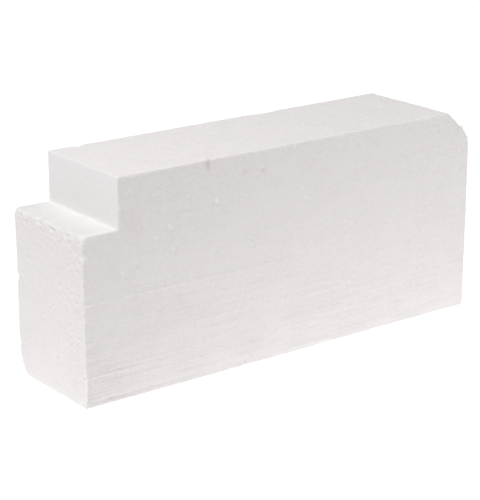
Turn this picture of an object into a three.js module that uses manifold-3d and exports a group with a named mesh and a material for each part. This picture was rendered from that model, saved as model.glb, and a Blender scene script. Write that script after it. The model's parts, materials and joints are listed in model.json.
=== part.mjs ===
// A stepped block of white bead foam (expanded polystyrene), cut to shape with a hot wire.
// It is one piece of moulded beads, so it is one mesh.
//
// Millimetres, +Z up. The origin is the centre of the bottom face. +X runs along the length,
// away from the stepped end, and +Y runs from the front face to the back face.

import * as THREE from "three";
import { mergeVertices } from "three/addons/utils/BufferGeometryUtils.js";
import Module from "manifold-3d";

// The whole block.
const LENGTH = 240;
const WIDTH = 60;
const HEIGHT = 108.5;

// The step, cut across the full width at the top of the -X end.
const STEP_LENGTH = 19.5;
const STEP_DEPTH = 25;

// The slope, cut across the full width at the top of the +X end. It starts straight from the
// top face and curves into the end face.
const SLOPE_RUN = 15.5;
const SLOPE_ANGLE = THREE.MathUtils.degToRad(42);
const SLOPE_BLEND_RADIUS = 13;

// The bevel along the bottom edge of the back face, softened where it meets both faces.
const BEVEL_WIDTH = 5;
const BEVEL_HEIGHT = 10;
const BEVEL_BOTTOM_RADIUS = 5;
const BEVEL_TOP_RADIUS = 20;

const ARC_SEGMENTS = 6; // an arc gets twice as many straight stretches
const SWEEP_MARGIN = 5; // how far the end outline is swept past the block at each end

const BEAD_WHITE = 0xf3efec;

const wasm = await Module();
wasm.setup();

// Carries an anticlockwise outline on to a convex corner and round it, ready for next.
function roundCorner(outline, corner, next, radius) {
  const back = outline.currentPoint.clone().sub(corner).normalize();
  const ahead = next.clone().sub(corner).normalize();
  const halfAngle = Math.acos(back.dot(ahead)) / 2;
  const reach = radius / Math.tan(halfAngle);
  const start = corner.clone().addScaledVector(back, reach);
  const end = corner.clone().addScaledVector(ahead, reach);
  const toCentre = back.clone().add(ahead).setLength(radius / Math.sin(halfAngle));
  const centre = corner.clone().add(toCentre);
  const startAngle = start.clone().sub(centre).angle();
  const endAngle = end.clone().sub(centre).angle();
  outline.lineTo(start.x, start.y);
  outline.absarc(centre.x, centre.y, radius, startAngle, endAngle, false);
}

// The block seen from the front, in X and Z.
function sideOutline() {
  const left = -LENGTH / 2;
  const right = LENGTH / 2;
  const slopeTop = new THREE.Vector2(right - SLOPE_RUN, HEIGHT);
  const slopeFoot = new THREE.Vector2(right, HEIGHT - SLOPE_RUN * Math.tan(SLOPE_ANGLE));
  const outline = new THREE.Shape();
  outline.moveTo(left, 0);
  outline.lineTo(right, 0);
  roundCorner(outline, slopeFoot, slopeTop, SLOPE_BLEND_RADIUS);
  outline.lineTo(slopeTop.x, slopeTop.y);
  outline.lineTo(left + STEP_LENGTH, HEIGHT);
  outline.lineTo(left + STEP_LENGTH, HEIGHT - STEP_DEPTH);
  outline.lineTo(left, HEIGHT - STEP_DEPTH);
  outline.closePath();
  return outline;
}

// The block seen from its +X end, in Y and Z.
function endOutline() {
  const front = -WIDTH / 2;
  const back = WIDTH / 2;
  const bevelFoot = new THREE.Vector2(back - BEVEL_WIDTH, 0);
  const bevelTop = new THREE.Vector2(back, BEVEL_HEIGHT);
  const topBack = new THREE.Vector2(back, HEIGHT);
  const outline = new THREE.Shape();
  outline.moveTo(front, 0);
  roundCorner(outline, bevelFoot, bevelTop, BEVEL_BOTTOM_RADIUS);
  roundCorner(outline, bevelTop, topBack, BEVEL_TOP_RADIUS);
  outline.lineTo(topBack.x, topBack.y);
  outline.lineTo(front, HEIGHT);
  outline.closePath();
  return outline;
}

// A closed geometry as a solid that can be cut.
function solidOf(geometry) {
  geometry.deleteAttribute("normal");
  geometry.deleteAttribute("uv");
  const merged = mergeVertices(geometry);
  const mesh = new wasm.Mesh({
    numProp: 3,
    vertProperties: merged.attributes.position.array,
    triVerts: new Uint32Array(merged.index.array),
  });
  return new wasm.Manifold(mesh);
}

// A cut solid as a geometry again, with flat facets.
function geometryOf(solid) {
  const mesh = solid.getMesh();
  const shared = new THREE.BufferGeometry();
  shared.setAttribute("position", new THREE.BufferAttribute(mesh.vertProperties, 3));
  shared.setIndex(new THREE.BufferAttribute(mesh.triVerts, 1));
  const geometry = shared.toNonIndexed();
  geometry.computeVertexNormals();
  return geometry;
}

// The side outline swept across the width and the end outline swept along the length share
// the block's shape.
function foamBlock() {
  const side = new THREE.ExtrudeGeometry(sideOutline(), {
    depth: WIDTH,
    bevelEnabled: false,
    curveSegments: ARC_SEGMENTS,
  });
  side.rotateX(Math.PI / 2);
  side.translate(0, WIDTH / 2, 0);

  const end = new THREE.ExtrudeGeometry(endOutline(), {
    depth: LENGTH + 2 * SWEEP_MARGIN,
    bevelEnabled: false,
    curveSegments: ARC_SEGMENTS,
  });
  const alongLength = new THREE.Matrix4().makeBasis(
    new THREE.Vector3(0, 1, 0),
    new THREE.Vector3(0, 0, 1),
    new THREE.Vector3(1, 0, 0),
  );
  end.applyMatrix4(alongLength);
  end.translate(-LENGTH / 2 - SWEEP_MARGIN, 0, 0);

  const foam = new THREE.MeshStandardMaterial({
    color: BEAD_WHITE,
    roughness: 0.85,
    metalness: 0,
  });
  const block = new THREE.Mesh(geometryOf(solidOf(side).intersect(solidOf(end))), foam);
  block.name = "foam_block";
  return block;
}

const part = new THREE.Group();
part.add(foamBlock());

export default part;
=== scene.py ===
"""A stepped block of white bead foam, cut with a hot wire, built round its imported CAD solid.

The foam starts as a distance field made from the CAD block's own planes. Beads are torn out of
its worn edges and knocks are cut into it, and the field becomes one closed mesh. Its cut faces
then get the marks of the wire, the beads that stand proud or lie low, and the relief of each
fused bead. Lengths are millimetres until the mesh is made, because Blender's unit is the metre.
"""

import json
import math

import bpy
import numpy as np
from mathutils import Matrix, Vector
from mathutils.kdtree import KDTree


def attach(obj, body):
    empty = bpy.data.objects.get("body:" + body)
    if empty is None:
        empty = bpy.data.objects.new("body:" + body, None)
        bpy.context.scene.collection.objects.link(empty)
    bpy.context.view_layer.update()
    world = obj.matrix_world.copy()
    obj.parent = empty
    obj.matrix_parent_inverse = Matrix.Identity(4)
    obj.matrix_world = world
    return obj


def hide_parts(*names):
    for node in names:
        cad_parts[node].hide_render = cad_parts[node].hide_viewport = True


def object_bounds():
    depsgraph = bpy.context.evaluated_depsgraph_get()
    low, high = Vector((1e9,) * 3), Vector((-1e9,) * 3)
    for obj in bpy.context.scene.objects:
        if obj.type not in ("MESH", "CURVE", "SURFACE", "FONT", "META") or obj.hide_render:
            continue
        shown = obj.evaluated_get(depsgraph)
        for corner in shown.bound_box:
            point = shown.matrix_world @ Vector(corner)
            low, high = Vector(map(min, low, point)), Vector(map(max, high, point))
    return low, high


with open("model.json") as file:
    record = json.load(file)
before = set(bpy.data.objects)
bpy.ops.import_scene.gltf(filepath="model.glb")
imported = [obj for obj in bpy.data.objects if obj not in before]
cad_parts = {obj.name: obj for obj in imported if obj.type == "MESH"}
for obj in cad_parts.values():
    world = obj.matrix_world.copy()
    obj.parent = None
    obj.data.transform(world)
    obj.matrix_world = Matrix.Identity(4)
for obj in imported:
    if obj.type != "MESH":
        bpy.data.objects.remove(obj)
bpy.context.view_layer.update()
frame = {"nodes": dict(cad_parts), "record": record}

MM = 0.001

# --- The block's places, from the frame ----------------------------------------------------

NODE = "foam_block"
CAD_MESH = frame["nodes"][NODE].data
CORNERS = np.array([vertex.co for vertex in CAD_MESH.vertices]) / MM
LEFT, FRONT, BOTTOM = CORNERS.min(axis=0)
RIGHT, BACK, TOP = CORNERS.max(axis=0)
LENGTH = RIGHT - LEFT
HEIGHT = TOP - BOTTOM
STEPPED_END_FOOT = np.array([LEFT, FRONT, BOTTOM])

MOUNTS = {mount["name"]: np.array(mount["pos_m"]) / MM for mount in frame["record"]["mounts"]}
RISER_X = MOUNTS["step_riser"][0]
LEDGE_Z = MOUNTS["step_ledge"][2]

ON_PLANE = 0.01  # a corner this near a plane lies on it
SLOPE_TOP_X = CORNERS[CORNERS[:, 2] > TOP - ON_PLANE][:, 0].max()
SLOPE_FOOT_Z = CORNERS[CORNERS[:, 0] > RIGHT - ON_PLANE][:, 2].max()

# The corners of the block seen from the front, in X and Z, in order round the outline.
LEDGE_CORNER = (LEFT, LEDGE_Z)
SIDE_OUTLINE = [
    (LEFT, BOTTOM),
    (RIGHT, BOTTOM),
    (RIGHT, SLOPE_FOOT_Z),
    (SLOPE_TOP_X, TOP),
    (RISER_X, TOP),
    (RISER_X, LEDGE_Z),
    LEDGE_CORNER,
]

# --- How the foam is made and worn ---------------------------------------------------------

SEED = 7
WEAR_SEED = SEED + 1
FRONT_SEED = SEED + 20
BACK_SEED = SEED + 40
WAVER_SEED = SEED + 60
LUMP_SEED = SEED + 61
LIP_SEED = SEED + 70

VOXEL = 0.6  # pitch of the distance field
FIELD_MARGIN = 2.5  # how far the field goes past the block
SHARP_ANGLE = math.radians(35)  # an edge that turns more than this is shaded as sharp

BEAD = 2.5  # spacing of the beads
BEAD_JITTER = 0.4  # of the spacing
BEAD_SOCKET = 0.8  # under 1, the beads round a torn one keep their round backs
TEAR_REACH = 3 * BEAD  # a torn bead matters no further away than this

# The share of the beads torn out along an edge, and how far from it they go.
EDGE_WEAR = (0.03, 0.9)
LEDGE_WEAR = (0.55, 1.4)
END_WEAR = (0.14, 0.9)
WEAR_DEPTH = 0.7  # no wear goes deeper than this from a face
WEAR_PATCH = 14.0  # the size of the better and worse stretches
WEAR_PATCHINESS = 0.6  # how much better and worse they are
WORN_DEPTH = (0.15, 0.5)  # under the sharp block, where a place starts to be worn and is worn

# Places on the block are measured along it from the stepped end, across it from the front
# face, and up from the bottom.

# Knocks: the middle, and half the size each way.
KNOCKS = [
    ((71, 0, 106.2), (1.6, 0.8, 3.4)),
    ((116, 0, 108.5), (1.0, 0.8, 1.2)),
    ((121.5, 0, 108), (1.1, 0.7, 1.4)),
    ((151, 0, 108.5), (1.0, 0.9, 1.2)),
    ((92, 0, 2), (1.6, 0.7, 3.4)),
    ((96.5, 0, 5), (0.8, 0.5, 2.6)),
    ((27, 0, 13), (1.2, 0.4, 1.2)),
    ((7, 0, 14), (0.7, 0.4, 0.7)),
    ((16, 0, 31), (0.7, 0.4, 0.7)),
    ((103, 0, 98), (1.3, 0.4, 0.8)),
    ((19.5, 0, 108.5), (0.9, 0.9, 0.9)),
    ((0, 14, 55), (0.45, 2.0, 0.9)),
    ((0, 20, 55.6), (0.45, 2.4, 0.8)),
    ((0, 28, 54.6), (0.4, 2.2, 0.8)),
    ((0, 21, 0), (0.7, 2.0, 0.8)),
    ((0, 38, 81.6), (0.8, 3.0, 0.7)),
    ((0, 26, 81.2), (0.8, 3.5, 0.6)),
    ((0, 9, 82), (0.7, 4.0, 0.6)),
    ((150, 60, 108.5), (9, 1.4, 0.6)),
]

# Beads that stand well proud: where, and the radius and height of the hump.
PROUD_BEADS = [
    ((27, 0, 100), 2.0, 0.5),
    ((39, 0, 96), 1.9, 0.45),
    ((59, 0, 93), 1.6, 0.4),
    ((75, 0, 88), 2.1, 0.7),
    ((45, 0, 89), 2.4, 0.45),
    ((48, 0, 80), 2.0, 0.5),
    ((40, 0, 76), 1.9, 0.5),
    ((50, 0, 69), 2.0, 0.5),
    ((22, 0, 62), 2.0, 0.45),
    ((29, 0, 66), 1.7, 0.4),
    ((64, 0, 78), 1.7, 0.4),
    ((234.5, 1, 99), 1.8, 0.9),
    ((238.2, 1, 93.1), 1.8, 0.9),
]

# Other beads that stand proud or lie low, scattered over every face.
BUMPS_PER_CM2 = 2.6
BUMP_RADIUS = (0.9, 1.7)
BUMP_HEIGHT = (0.08, 0.5)  # most are near the low end
LOW_SHARE = 0.3
LOW_DEPTH = 0.4  # of what a bump would be high

# Lines along the stepped end where many beads are loose: the start and end of the line, how far
# from it the beads lie, how many there are, and the most that they stand out or lie low.
LOOSE_BEADS = [
    ((0, 2, 81), (0, 60, 81), 1.6, 110, 0.6),
    ((0, 2, 4), (0, 2, 82), 12.0, 800, 0.45),
    ((1, 0, 4), (1, 0, 82), 1.5, 60, 0.3),
]
LOOSE_RADIUS = (0.8, 1.3)

# Lips that the wire left where it paused, on the front face: the height of the line where it
# starts, its rise for each millimetre along, its start and end, and how far it stands out. Below
# a lip the face falls slowly back.
WIRE_LIPS = [
    (50.7, 0, -20, 125, 0.8),
    (32.3, 0, -20, 85, 0.35),
    (15.6, 0, -20, 38, 0.35),
    (15.0, -0.04, 38, 90, 0.25),
    (89.9, 0.048, 143, 225, 0.5),
    (85.6, 0.0125, 170, 260, 0.5),
]
LIPS_ON_A_FACE = 80
LIP_HEIGHT = 0.2  # at most, either way
LIP_LENGTH = (30, 180)
LIP_TILT = 0.008  # typical rise for each millimetre along
LIP_CROWDING = 1.6  # over 1, the lips crowd towards the bottom
LIP_WIDTH = 0.9
LIP_FALL = 5.0
LIP_REACH = 5 * LIP_FALL  # below this the fall has died away
LIP_FADE = 5.0  # a lip comes in over this length either side of its start
LIP_TAIL = 20.0  # it dies away over this length before its end, and LIP_FADE after it
LIP_BREAK = 3.0  # a lip is stronger and weaker over this length

# Fine straight streaks on the long faces: (spacing, height) of each layer.
WIRE_STREAKS = [(1.2, 0.04), (2.4, 0.06), (7.0, 0.10)]
STREAK_FADE_LENGTH = 45.0  # they fade in and out over this length
STREAK_FADE_LINES = 3  # and over this many spacings up
STREAK_FADE_SEED = 10  # more than the streaks' own seed

# How strong the wire's marks are on the long faces: at the bottom and the top, the band between
# them over which that changes, and the share of it at the stepped end and the sloped end.
WIRE_AT_BOTTOM = 1.3
WIRE_AT_TOP = 0.35
WIRE_BAND = (0.15, 0.6)  # of the height
WIRE_AT_STEPPED_END = 1.2
WIRE_AT_SLOPED_END = 0.6
LONG_FACE = (0.7, 0.95)  # a surface whose normal lies this much across the block is a long face

# The cut faces aren't quite flat: broad wavers, and lumps about a bead across.
WAVER_SIZE = (60.0, 60.0, 22.0)
WAVER_HEIGHT = 0.15
LUMP_SIZE = 2.2
LUMP_HEIGHT = 0.125

STEP_SKIN = 0.8  # a vertex this near a face of the step lies on it
STEP_RELIEF = 0.4  # of the relief and the shade elsewhere

HOLLOW_DEPTH = 0.12  # below the mean of its neighbours, a vertex is in a hollow
HOLLOW_RANGE = (-0.3, 2.0)  # the highest bump and the deepest hollow, in hollows: the most painted light on a bump and painted shade in a hollow

# Faint darker, browner patches on the front face: (along, up, half width, half height, strength).
# The first is painted shade in the knock at 71 along, as well as its brown; the rest darken and
# brown the face where they lie.
STAINS_AND_PAINTED_SHADE = [
    (71, 105.6, 1.8, 3.0, 1.5),
    (103, 98, 1.6, 1.2, 1.3),
    (92, 99, 2.0, 1.4, 1.2),
    (95, 11, 9, 5, 0.35),
    (27, 86, 7, 6, 0.3),
]

rng = np.random.default_rng(SEED)


def smooth_step(low, high, value):
    share = np.clip((value - low) / (high - low), 0, 1)
    return share * share * (3 - 2 * share)


def smooth_noise(points, size, seed):
    """Value noise from -1 to 1, one value for each row of points. size is the cell's, and may
    differ between columns."""
    cells = 64
    dims = points.shape[1]
    lattice = np.random.default_rng(seed).uniform(-1, 1, (cells,) * dims)
    at = points / size
    low = np.floor(at).astype(int)
    share = smooth_step(0, 1, at - low)
    total = np.zeros(len(points))
    for corner in np.ndindex((2,) * dims):
        weight = np.prod(np.where(corner, share, 1 - share), axis=1)
        total += weight * lattice[tuple(((low + corner) % cells).T)]
    return total


# --- The distance field --------------------------------------------------------------------


def outer_planes():
    """Normals and offsets of the CAD faces that no corner of the block stands in front of."""
    normals = np.array([face.normal for face in CAD_MESH.polygons])
    centres = np.array([face.center for face in CAD_MESH.polygons]) / MM
    offsets = (normals * centres).sum(axis=1)
    outer = (CORNERS @ normals.T <= offsets + ON_PLANE).all(axis=0)
    planes = np.unique(np.round(np.c_[normals, offsets][outer], 3), axis=0)
    return planes[:, :3], planes[:, 3]


def block_distance(x, y, z):
    """How far outside the sharp CAD block a place is, negative inside it. The step is cut from
    what the outer planes enclose."""
    distance = np.minimum(RISER_X - x, z - LEDGE_Z)
    for normal, offset in zip(*outer_planes()):
        reach = sum(n * axis for n, axis in zip(normal, (x, y, z)) if n != 0)
        distance = np.maximum(distance, reach - offset)
    return distance


def blurred(field):
    """The field after one narrow blur along each axis, which softens edges and leaves flat
    faces in place."""
    for axis in range(3):
        field = np.roll(field, 1, axis) / 4 + field / 2 + np.roll(field, -1, axis) / 4
    return field


def scatter_beads(axes):
    """The low corner of a lattice that covers the field, and a bead's centre in each cell."""
    low = np.array([axis[0] - BEAD for axis in axes])
    counts = [int((axis[-1] - axis[0]) / BEAD) + 4 for axis in axes]
    cells = np.stack(np.meshgrid(*map(np.arange, counts), indexing="ij"), axis=-1)
    jitter = rng.uniform(-BEAD_JITTER, BEAD_JITTER, cells.shape)
    return low, low + (cells + 0.5 + jitter) * BEAD


def line_distance(points, start, end):
    start, along = np.array(start), np.subtract(end, start)
    share = np.clip((points - start) @ along / (along @ along), 0, 1)
    return np.linalg.norm(points - start - share[:, None] * along, axis=1)


def edge_wear():
    """(start, end, wear) for each edge of the block."""
    edges = []
    for start, end in zip(SIDE_OUTLINE, SIDE_OUTLINE[1:] + SIDE_OUTLINE[:1]):
        stepped_end = start == LEDGE_CORNER
        for y in (FRONT, BACK):
            wear = END_WEAR if stepped_end else EDGE_WEAR
            edges.append(((start[0], y, start[1]), (end[0], y, end[1]), wear))
    for x, z in SIDE_OUTLINE:
        wear = LEDGE_WEAR if (x, z) == LEDGE_CORNER else EDGE_WEAR
        edges.append(((x, FRONT, z), (x, BACK, z), wear))
    return edges


def tear_out(beads):
    """Which beads are torn out of the worn edges."""
    centres = beads.reshape(-1, 3)
    chance = np.zeros(len(centres))
    for start, end, (share, reach) in edge_wear():
        near = np.exp(-((line_distance(centres, start, end) / reach) ** 2))
        chance = np.maximum(chance, share * near)
    chance *= 1 + WEAR_PATCHINESS * smooth_noise(centres, WEAR_PATCH, WEAR_SEED)
    return (rng.random(len(centres)) < chance).reshape(beads.shape[:3])


def near_torn(torn, low, axes):
    """Which places of the field are in a lattice cell beside a torn bead's."""
    near = torn
    for axis in range(3):
        near = near | np.roll(near, 1, axis) | np.roll(near, -1, axis)
    cells = [((axis - start) / BEAD).astype(int) for axis, start in zip(axes, low)]
    return near[np.ix_(*cells)]


def tear_field(field, axes):
    """Takes the torn beads out of the field. What is left is nearer to a bead that stays than
    to a torn one, and bulges round it."""
    low, beads = scatter_beads(axes)
    torn = tear_out(beads)
    places = np.argwhere(near_torn(torn, low, axes) & (field < VOXEL) & (field > -TEAR_REACH))
    points = np.stack([axis[at] for axis, at in zip(axes, places.T)], axis=1)
    home = ((points - low) / BEAD).astype(int)
    stays = np.full(len(points), TEAR_REACH)
    gone = np.full(len(points), TEAR_REACH)
    for offset in np.ndindex(3, 3, 3):
        cell = tuple((home + offset - 1).T)
        away = np.linalg.norm(points - beads[cell], axis=1)
        out = torn[cell]
        stays = np.where(out, stays, np.minimum(stays, away))
        gone = np.where(out, np.minimum(gone, away), gone)
    where = tuple(places.T)
    hollow = np.minimum(stays - BEAD_SOCKET * gone, field[where] + WEAR_DEPTH)
    field[where] = np.maximum(field[where], hollow)


def carve(field, axes, centre, radii):
    """Takes an ellipsoid out of the foam."""
    spans = [
        slice(*np.searchsorted(axis, (middle - radius - VOXEL, middle + radius + VOXEL)))
        for axis, middle, radius in zip(axes, centre, radii)
    ]
    offsets = [
        (axis[span] - middle) / radius
        for axis, span, middle, radius in zip(axes, spans, centre, radii)
    ]
    x, y, z = np.ix_(*offsets)
    inside = (1 - np.sqrt(x * x + y * y + z * z)) * min(radii)
    field[tuple(spans)] = np.maximum(field[tuple(spans)], inside)


def foam_field(axes):
    """The cut block, sharp apart from the torn places and the knocks."""
    cut = block_distance(*np.ix_(*axes))
    field = cut.copy()
    tear_field(field, axes)
    field = np.where(blurred(field > cut) > 0, blurred(field), cut)
    for middle, radii in KNOCKS:
        carve(field, axes, STEPPED_END_FOOT + middle, radii)
    return field


# --- From the field to a mesh --------------------------------------------------------------


def net(field, axes):
    """Vertices and quads of the surface where the field is 0. There is one vertex in each cell
    that the surface crosses, at the mean of the crossings of its edges."""
    inside = field < 0
    corners = list(np.ndindex(2, 2, 2))
    cells_shape = np.array(field.shape) - 1
    filled = np.zeros(cells_shape, np.int8)
    for corner in corners:
        filled += inside[tuple(slice(c, c + n) for c, n in zip(corner, cells_shape))]
    cells = np.argwhere((filled > 0) & (filled < len(corners)))
    number = np.zeros(cells_shape, np.int32)
    number[tuple(cells.T)] = np.arange(len(cells))

    total = np.zeros((len(cells), 3))
    crossings = np.zeros(len(cells))
    for axis in range(3):
        ahead = np.eye(3, dtype=int)[axis]
        for corner in corners:
            if corner[axis]:
                continue
            start = cells + corner
            value = field[tuple(start.T)]
            value_ahead = field[tuple((start + ahead).T)]
            crossed = (value < 0) != (value_ahead < 0)
            share = np.where(crossed, value / np.where(crossed, value - value_ahead, 1), 0)
            total += crossed[:, None] * (start + share[:, None] * ahead)
            crossings += crossed
    low = np.array([axis[0] for axis in axes])
    vertices = low + VOXEL * total / crossings[:, None]

    quads = []
    for axis in range(3):
        u, v = np.eye(3, dtype=int)[(axis + 1) % 3], np.eye(3, dtype=int)[(axis + 2) % 3]
        edges = np.argwhere(inside != np.roll(inside, -1, axis))
        ring = [number[tuple((edges - back).T)] for back in (u + v, v, 0 * u, u)]
        ring = np.stack(ring, axis=1)
        facing_ahead = inside[tuple(edges.T)]
        quads.append(np.where(facing_ahead[:, None], ring, ring[:, ::-1]))
    return vertices, np.concatenate(quads)


def largest_body(vertices, quads):
    """The vertices and quads of the largest connected surface, without any loose crumb."""
    label = np.arange(len(vertices))
    while True:
        joined = label.copy()
        np.minimum.at(joined, quads, label[quads].min(axis=1)[:, None])
        joined = joined[joined]
        if (joined == label).all():
            break
        label = joined
    kept = label == np.bincount(label).argmax()
    renumber = np.cumsum(kept) - 1
    return vertices[kept], renumber[quads[kept[quads[:, 0]]]]


# --- The relief of the cut faces -----------------------------------------------------------


def bumps_on(vertices, centres, radii, heights):
    """A round low hump, or a hollow where its height is negative, at each centre."""
    tree = KDTree(len(vertices))
    for number, vertex in enumerate(vertices):
        tree.insert(vertex, number)
    tree.balance()
    relief = np.zeros(len(vertices))
    for centre, radius, height in zip(centres, radii, heights):
        for _, number, away in tree.find_range(centre, radius):
            relief[number] += height * (1 - (away / radius) ** 2) ** 2
    return relief


def scattered_beads(vertices):
    """Centres, radii and heights of bumps all over the block."""
    area_cm2 = len(vertices) * (VOXEL / 10) ** 2
    centres = vertices[rng.integers(len(vertices), size=int(area_cm2 * BUMPS_PER_CM2))]
    radii = rng.uniform(*BUMP_RADIUS, len(centres))
    least, most = BUMP_HEIGHT
    heights = least + (most - least) * rng.random(len(centres)) ** 3
    heights *= np.where(rng.random(len(centres)) < LOW_SHARE, -LOW_DEPTH, 1)
    return centres, radii, heights


def loose_beads(start, end, reach, count, most):
    """Centres, radii and heights of bumps beside one line of LOOSE_BEADS."""
    start, along = np.array(start), np.subtract(end, start)
    centres = STEPPED_END_FOOT + start + rng.random((count, 1)) * along
    # Where the start's place on an axis is 0, the line is on that face, and its beads stay on it.
    strays = (start != 0) & (along == 0)
    centres = centres + strays * rng.normal(0, reach, (count, 3))
    return centres, rng.uniform(*LOOSE_RADIUS, count), rng.uniform(-most, most, count)


def proud_and_low_beads(vertices):
    """The relief of the named beads, of those scattered everywhere, and of the loose ones."""
    places, radii, heights = map(np.array, zip(*PROUD_BEADS))
    groups = [(STEPPED_END_FOOT + places, radii, heights), scattered_beads(vertices)]
    groups += [loose_beads(*line) for line in LOOSE_BEADS]
    centres, radii, heights = map(np.concatenate, zip(*groups))
    return bumps_on(vertices, centres, radii, heights)


def random_lips():
    """Lips like WIRE_LIPS for one face, at all heights and of all lengths. Some lie low."""
    ups = HEIGHT * rng.random(LIPS_ON_A_FACE) ** LIP_CROWDING
    rises = rng.normal(0, LIP_TILT, LIPS_ON_A_FACE)
    lengths = rng.uniform(*LIP_LENGTH, LIPS_ON_A_FACE)
    starts = rng.uniform(-lengths / 2, LENGTH - lengths / 2)
    heights = rng.uniform(-LIP_HEIGHT, LIP_HEIGHT, LIPS_ON_A_FACE)
    return zip(ups, rises, starts, starts + lengths, heights)


def wire_lips(vertices, lips):
    """Each lip steps out over its width, falls slowly back below, and comes and goes along."""
    along, up = (vertices - STEPPED_END_FOOT)[:, ::2].T
    relief = np.zeros(len(vertices))
    for line_up, rise, start, end, height in lips:
        below = line_up + rise * (along - start) - up
        near = np.flatnonzero((below > -LIP_WIDTH) & (below < LIP_REACH))
        below, at = below[near], along[near]
        lip = smooth_step(-LIP_WIDTH / 2, LIP_WIDTH / 2, below) * np.exp(-below / LIP_FALL)
        begun = smooth_step(start - LIP_FADE, start + LIP_FADE, at)
        ended = smooth_step(end - LIP_TAIL, end + LIP_FADE, at)
        span = begun * (1 - ended)
        broken = smooth_noise(at[:, None] + LENGTH * line_up, LIP_BREAK, LIP_SEED)
        relief[near] += height * span * lip * (1 + broken / 2)
    return relief


def wire_streaks(vertices, side_seed):
    """Fine straight lines all the way along, which fade in and out."""
    x, z = vertices[:, 0], vertices[:, 2]
    relief = np.zeros(len(vertices))
    for layer, (size, height) in enumerate(WIRE_STREAKS):
        seed = side_seed + layer
        line = smooth_noise(z[:, None], size, seed)
        fade_size = (STREAK_FADE_LENGTH, STREAK_FADE_LINES * size)
        fade = smooth_noise(np.c_[x, z], fade_size, seed + STREAK_FADE_SEED)
        relief += height * line * (1 + fade) / 2
    return relief


def wire_marks(vertices):
    """The marks of the wire on the two long faces."""
    relief = np.zeros(len(vertices))
    front = vertices[:, 1] < (FRONT + BACK) / 2
    for face, lips, side_seed in [
        (front, WIRE_LIPS + list(random_lips()), FRONT_SEED),
        (~front, list(random_lips()), BACK_SEED),
    ]:
        places = vertices[face]
        relief[face] = wire_lips(places, lips) + wire_streaks(places, side_seed)
    return relief


def wire_strength(vertices, normals):
    """How strongly the wire marked each vertex, which is 0 off the long faces."""
    up = (vertices[:, 2] - BOTTOM) / HEIGHT
    along = (vertices[:, 0] - LEFT) / LENGTH
    strength = WIRE_AT_BOTTOM + (WIRE_AT_TOP - WIRE_AT_BOTTOM) * smooth_step(*WIRE_BAND, up)
    strength *= WIRE_AT_STEPPED_END + (WIRE_AT_SLOPED_END - WIRE_AT_STEPPED_END) * along
    return strength * smooth_step(*LONG_FACE, np.abs(normals[:, 1]))


def uneven(vertices):
    """The relief of the broad wavers and of the lumps."""
    waver = WAVER_HEIGHT * smooth_noise(vertices, WAVER_SIZE, WAVER_SEED)
    return waver + LUMP_HEIGHT * smooth_noise(vertices, LUMP_SIZE, LUMP_SEED)


def stains_and_painted_shade(vertices):
    """How strong the patches are at each vertex of the front face: brown marks, and painted shade
    in the knock at 71 along.
    """
    along, up = (vertices - STEPPED_END_FOOT)[:, ::2].T
    depth = np.zeros(len(vertices))
    for middle, height, half_width, half_height, strength in STAINS_AND_PAINTED_SHADE:
        away = ((along - middle) / half_width) ** 2 + ((up - height) / half_height) ** 2
        depth = np.maximum(depth, strength * np.exp(-away))
    return depth * (vertices[:, 1] < FRONT + BEAD)


def mean_of_neighbours(values, quads):
    """For each vertex, the mean of its neighbours' rows of values."""
    total = np.zeros_like(values)
    count = np.zeros((len(values), 1))
    for side in range(4):
        here, there = quads[:, side], quads[:, (side + 1) % 4]
        for column in range(values.shape[1]):
            total[:, column] += np.bincount(here, values[there, column], len(values))
        count[:, 0] += np.bincount(here, minlength=len(values))
    return total / count


def hollows(vertices, quads, normals, relief):
    """How hollow the surface is at each vertex, from its depth below the mean of its
    neighbours: 1 in a hollow, more in a deep one, and negative on a bump of the relief. The
    material turns it into painted shade in the hollows and painted light on the bumps."""
    below = ((mean_of_neighbours(vertices, quads) - vertices) * normals).sum(axis=1)
    relief_below = mean_of_neighbours(relief[:, None], quads)[:, 0] - relief
    depth = np.maximum(below, 0) + np.minimum(relief_below, 0)
    return np.clip(depth / HOLLOW_DEPTH, *HOLLOW_RANGE)


def step_cut(vertices):
    """1 on the two faces of the step, which are cut more smoothly and look whiter, else 0."""
    x, z = vertices[:, 0], vertices[:, 2]
    return ((x < RISER_X + STEP_SKIN) & (z > LEDGE_Z - STEP_SKIN)).astype(float)


def mesh_object(name, vertices, quads):
    mesh = bpy.data.meshes.new(name)
    mesh.from_pydata(vertices * MM, [], quads)
    block = bpy.data.objects.new(name, mesh)
    bpy.context.scene.collection.objects.link(block)
    return block


def vertex_normals(mesh):
    normals = np.empty(len(mesh.vertices) * 3)
    mesh.vertex_normals.foreach_get("vector", normals)
    return normals.reshape(-1, 3)


def store(mesh, name, values):
    """Keeps one number for each vertex, for the material to read."""
    layer = mesh.attributes.new(name, "FLOAT", "POINT")
    layer.data.foreach_set("value", values.astype(np.float32))


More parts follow.
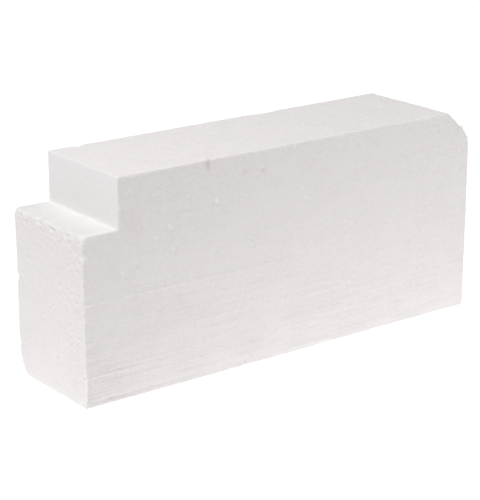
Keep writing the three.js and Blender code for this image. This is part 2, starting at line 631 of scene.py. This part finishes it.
def make_foam():
    low, high = CORNERS.min(axis=0) - FIELD_MARGIN, CORNERS.max(axis=0) + FIELD_MARGIN
    axes = [np.arange(start, end, VOXEL) for start, end in zip(low, high)]
    vertices, quads = largest_body(*net(foam_field(axes), axes))
    foam = mesh_object("foam", vertices, quads)
    normals = vertex_normals(foam.data)

    worn = smooth_step(*WORN_DEPTH, -block_distance(*vertices.T))
    wire = wire_strength(vertices, normals) * (1 - worn)
    relief = uneven(vertices)
    relief += proud_and_low_beads(vertices) * (1 - worn)
    relief += wire_marks(vertices) * wire
    step = step_cut(vertices)
    relief *= 1 + (STEP_RELIEF - 1) * step
    vertices = vertices + normals * relief[:, None]
    foam.data.vertices.foreach_set("co", (vertices * MM).ravel())
    foam.data.update()
    foam.data.shade_smooth()
    foam.data.set_sharp_from_angle(angle=SHARP_ANGLE)
    store(foam.data, "wire", wire)
    # The patches: brown marks, and painted shade in the knock at 71 along.
    store(foam.data, "stain_and_painted_shade", stains_and_painted_shade(vertices))
    store(foam.data, "step", step)
    # How hollow each vertex is, for the painted shade in hollows and painted light on bumps.
    store(foam.data, "hollow", hollows(vertices, quads, normals, relief))
    return foam


# --- Materials -----------------------------------------------------------------------------

FOAM_WHITE = (0.889, 0.851, 0.8445, 1)
STEP_WHITE = (0.879, 0.862, 0.859, 1)
# The patches blend towards this brown: brown marks, and painted shade in the knock at 71 along.
STAIN_AND_SHADE_BROWN = (0.72, 0.63, 0.58, 1)
STAIN_AND_SHADE_STRENGTH = 0.3
FOAM_GLOSS = 0.25
ROUGHNESS = (0.6, 0.8)

# The sizes of the patterns, in millimetres, and how weak the patchy ones get.
BEND_SIZE = 3 * BEAD  # the beads' lattice is bent by about a bead over this length
SEAM_WIDTH = 0.09  # of the bead's size
SEAM_PATCH = 9.0
SEAM_LEAST = 0.1
STREAK_WIDTH = 1.1
STREAK_STRETCH = 0.03  # scale along the block: streaks are about 30 times longer than wide
STREAK_PATCH = 30.0
STREAK_LEAST = 0.3
TOOTH_SIZE = 1.2
ROUGHNESS_PATCH = 5.0

# A pattern is weakest where its noise is under the first value, and full over the second.
NOISE_BAND = (0.35, 0.65)
WIDE_NOISE_BAND = (0.3, 0.7)

# How much darker each makes the foam where its value is 1.
SEAM_SHADE = 0.02
BEAD_SHADE = 0.012
STREAK_SHADE = 0.045
TOOTH_SHADE = 0.02
# Painted shade in hollows, and painted light on bumps where the hollows' value is negative.
PAINTED_HOLLOW_SHADE = 0.06

# Fine relief, in millimetres.
BEAD_DOME = 0.18
SEAM_DEPTH = 0.04
STREAK_HEIGHT = 0.05
TOOTH_HEIGHT = 0.06


def add_node(tree, kind, inputs=None, **settings):
    """A node, with its settings, and its inputs by name or number: values or other sockets."""
    node = tree.nodes.new(kind)
    for name, value in settings.items():
        setattr(node, name, value)
    for name, value in (inputs or {}).items():
        if isinstance(value, bpy.types.NodeSocket):
            tree.links.new(value, node.inputs[name])
        else:
            node.inputs[name].default_value = value
    return node


def maths(tree, operation, *values):
    node = add_node(tree, "ShaderNodeMath", dict(enumerate(values)), operation=operation)
    return node.outputs["Value"]


def map_range(tree, value, low, high, to_low, to_high):
    inputs = {
        "Value": value,
        "From Min": low,
        "From Max": high,
        "To Min": to_low,
        "To Max": to_high,
    }
    node = add_node(tree, "ShaderNodeMapRange", inputs, interpolation_type="SMOOTHSTEP")
    return node.outputs["Result"]


def noise(tree, place, size, detail=2.0):
    """Noise from 0 to 1, whose lumps are about the size given, in millimetres."""
    inputs = {"Vector": place, "Scale": 1 / (size * MM), "Detail": detail}
    return add_node(tree, "ShaderNodeTexNoise", inputs).outputs["Fac"]


def attribute(tree, name):
    return add_node(tree, "ShaderNodeAttribute", attribute_name=name).outputs["Fac"]


def weighted_sum(tree, terms):
    """The sum of each value times its weight."""
    total = 0
    for value, weight in terms:
        total = maths(tree, "MULTIPLY_ADD", value, weight, total)
    return total


def bead_pattern(tree, place):
    """The fused beads: a thin seam round each one, which comes and goes, a tone of its own, and
    how far a place is from its middle."""
    bend = add_node(tree, "ShaderNodeTexNoise", {"Vector": place, "Scale": 1 / (BEND_SIZE * MM)})
    bent_inputs = {0: bend.outputs["Color"], 1: (BEAD * MM,) * 3, 2: place}
    bent = add_node(tree, "ShaderNodeVectorMath", bent_inputs, operation="MULTIPLY_ADD")
    bead_inputs = {"Vector": bent.outputs["Vector"], "Scale": 1 / (BEAD * MM)}
    edge = add_node(tree, "ShaderNodeTexVoronoi", bead_inputs, feature="DISTANCE_TO_EDGE")
    bead = add_node(tree, "ShaderNodeTexVoronoi", bead_inputs)
    own_tone = add_node(tree, "ShaderNodeSeparateColor", {"Color": bead.outputs["Color"]})
    seam = map_range(tree, edge.outputs["Distance"], 0, SEAM_WIDTH, 1, 0)
    seam_shows = map_range(tree, noise(tree, place, SEAM_PATCH), *NOISE_BAND, SEAM_LEAST, 1)
    seam = maths(tree, "MULTIPLY", seam, seam_shows)
    return seam, own_tone.outputs["Red"], bead.outputs["Distance"]


def streak_pattern(tree, place):
    """The wire's streaks, on the long faces only."""
    long_inputs = {"Vector": place, "Scale": (STREAK_STRETCH, 1, 1)}
    long_place = add_node(tree, "ShaderNodeMapping", long_inputs).outputs["Vector"]
    streak = map_range(tree, noise(tree, long_place, STREAK_WIDTH, detail=4), *NOISE_BAND, 0, 1)
    streak_patches = noise(tree, place, STREAK_PATCH)
    streak_shows = map_range(tree, streak_patches, *NOISE_BAND, STREAK_LEAST, 1)
    streak = maths(tree, "MULTIPLY", streak, streak_shows)
    return maths(tree, "MULTIPLY", streak, attribute(tree, "wire"))


def foam_colour(tree, step, shade):
    """The foam's white, or the step's, browner and darker in the patches, one of them painted shade
    in a knock, and darker by the shade, part of which is painted shade in hollows and painted light
    on bumps.
    """
    white_inputs = {"Fac": step, "Color1": FOAM_WHITE, "Color2": STEP_WHITE}
    white = add_node(tree, "ShaderNodeMixRGB", white_inputs).outputs["Color"]
    stain_and_painted_shade = maths(tree, "MULTIPLY", attribute(tree, "stain_and_painted_shade"), STAIN_AND_SHADE_STRENGTH)
    stain_and_shade_inputs = {"Fac": stain_and_painted_shade, "Color1": white, "Color2": STAIN_AND_SHADE_BROWN}
    stained_and_shaded = add_node(tree, "ShaderNodeMixRGB", stain_and_shade_inputs).outputs["Color"]
    colour_inputs = {0: stained_and_shaded, "Scale": maths(tree, "SUBTRACT", 1, shade)}
    colour = add_node(tree, "ShaderNodeVectorMath", colour_inputs, operation="SCALE")
    return colour.outputs["Vector"]


def foam_material():
    material = bpy.data.materials.new("white bead foam")
    material.use_nodes = True
    tree = material.node_tree
    place = add_node(tree, "ShaderNodeTexCoord").outputs["Object"]

    seam, own_tone, from_middle = bead_pattern(tree, place)
    streak = streak_pattern(tree, place)
    tooth = map_range(tree, noise(tree, place, TOOTH_SIZE, detail=3), *WIDE_NOISE_BAND, 0, 1)
    step = attribute(tree, "step")
    plainness = maths(tree, "MULTIPLY_ADD", step, STEP_RELIEF - 1, 1)

    shades = [
        (seam, SEAM_SHADE),
        (own_tone, BEAD_SHADE),
        (streak, STREAK_SHADE),
        (tooth, TOOTH_SHADE),
        # Painted shade in the hollows and painted light on the bumps.
        (attribute(tree, "hollow"), PAINTED_HOLLOW_SHADE),
    ]
    shade = maths(tree, "MULTIPLY", weighted_sum(tree, shades), plainness)

    # Relief finer than the mesh, in metres: each bead's dome, seams, streaks and a fine tooth.
    heights = [
        (maths(tree, "POWER", from_middle, 2), -BEAD_DOME * MM),
        (seam, -SEAM_DEPTH * MM),
        (streak, STREAK_HEIGHT * MM),
        (tooth, TOOTH_HEIGHT * MM),
    ]
    height = maths(tree, "MULTIPLY", weighted_sum(tree, heights), plainness)
    bump = add_node(tree, "ShaderNodeBump", {"Height": height, "Distance": 1.0})

    roughness_patches = noise(tree, place, ROUGHNESS_PATCH)
    roughness = map_range(tree, roughness_patches, *WIDE_NOISE_BAND, *ROUGHNESS)
    foam = tree.nodes["Principled BSDF"]
    tree.links.new(foam_colour(tree, step, shade), foam.inputs["Base Color"])
    tree.links.new(bump.outputs["Normal"], foam.inputs["Normal"])
    tree.links.new(roughness, foam.inputs["Roughness"])
    foam.inputs["Specular IOR Level"].default_value = FOAM_GLOSS
    return material


foam = make_foam()
foam.data.materials.append(foam_material())
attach(foam, "root")
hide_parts(NODE)

# --- Camera --------------------------------------------------------------------------------

CAMERA_YAW = math.radians(37.15)
CAMERA_PITCH = math.radians(17.89)
CAMERA_DISTANCE = 3.4488 * LENGTH
CAMERA_TARGET = np.array([LEFT + 0.3704 * LENGTH, FRONT, 0.2524 * LENGTH])
CAMERA_LENS = 123.87


def make_camera():
    data = bpy.data.cameras.new("camera")
    data.lens = CAMERA_LENS
    data.clip_start = 0.01
    camera = bpy.data.objects.new("camera", data)
    bpy.context.scene.collection.objects.link(camera)
    level = math.cos(CAMERA_PITCH)
    ahead = np.array(
        [math.sin(CAMERA_YAW) * level, math.cos(CAMERA_YAW) * level, -math.sin(CAMERA_PITCH)]
    )
    camera.location = (CAMERA_TARGET - CAMERA_DISTANCE * ahead) * MM
    camera.rotation_euler = (math.pi / 2 - CAMERA_PITCH, 0, -CAMERA_YAW)
    bpy.context.scene.camera = camera


make_camera()

# --- Stage ---------------------------------------------------------------------------------

WORLD_STRENGTH = 0.29
FLOOR_HALF_SIZE = 6.0  # metres, like the rest of the stage
FLOOR_TONE = 0.5

# Pools of light on the floor: (centre, radius, strength).
FLOOR_POOLS = [
    ((0.5, 0.8, 0), 1.05, 1.0),
    ((0.03, -0.12, 0), 0.28, 0.52),
]

# Soft round lights: (name, place, what it points at, diameter, watts).
LIGHTS = [
    ("key above left", (-0.62, -0.15, 0.94), (0, 0, 0.05), 0.4, 7.2),
    ("fill above right", (0.9, -0.2, 0.9), (0, 0, 0.05), 0.6, 3.3),
    ("low fill right", (0.4, -0.35, 0.12), (0.06, -0.03, 0.03), 0.25, 0.25),
]


def floor_glow(tree):
    """The floor's own light, brightest in the middle of each pool."""
    place = add_node(tree, "ShaderNodeTexCoord").outputs["Object"]
    glow = 0
    for centre, radius, strength in FLOOR_POOLS:
        away = add_node(tree, "ShaderNodeVectorMath", {0: place, 1: centre}, operation="DISTANCE")
        share = maths(tree, "DIVIDE", away.outputs["Value"], radius)
        share_squared = maths(tree, "MULTIPLY", share, share)
        fade = maths(tree, "EXPONENT", maths(tree, "MULTIPLY", share_squared, -1))
        glow = maths(tree, "MULTIPLY_ADD", fade, strength, glow)
    return glow


def floor_material():
    material = bpy.data.materials.new("pale paper")
    material.use_nodes = True
    tree = material.node_tree
    paper = tree.nodes["Principled BSDF"]
    paper.inputs["Base Color"].default_value = (FLOOR_TONE, FLOOR_TONE, FLOOR_TONE, 1)
    paper.inputs["Roughness"].default_value = 1
    paper.inputs["Specular IOR Level"].default_value = 0
    paper.inputs["Emission Color"].default_value = (1, 1, 1, 1)
    tree.links.new(floor_glow(tree), paper.inputs["Emission Strength"])
    return material


def make_floor():
    half = FLOOR_HALF_SIZE
    corners = [(-half, -half, 0), (half, -half, 0), (half, half, 0), (-half, half, 0)]
    mesh = bpy.data.meshes.new("floor")
    mesh.from_pydata(corners, [], [(0, 1, 2, 3)])
    mesh.materials.append(floor_material())
    floor = bpy.data.objects.new("floor", mesh)
    floor.location.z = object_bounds()[0][2]  # the lowest bead, because the bottom isn't quite flat
    bpy.context.scene.collection.objects.link(floor)


def make_world():
    world = bpy.data.worlds.new("studio")
    world.use_nodes = True
    background = world.node_tree.nodes["Background"]
    background.inputs["Color"].default_value = (1, 1, 1, 1)
    background.inputs["Strength"].default_value = WORLD_STRENGTH
    bpy.context.scene.world = world


def make_lights():
    for name, place, target, diameter, watts in LIGHTS:
        data = bpy.data.lights.new(name, "AREA")
        data.shape = "DISK"
        data.size = diameter
        data.energy = watts
        light = bpy.data.objects.new(name, data)
        light.location = place
        light.rotation_euler = (Vector(target) - Vector(place)).to_track_quat("-Z", "Y").to_euler()
        light.visible_camera = False
        bpy.context.scene.collection.objects.link(light)


make_floor()
make_world()
make_lights()
bpy.context.scene.view_settings.view_transform = "Standard"
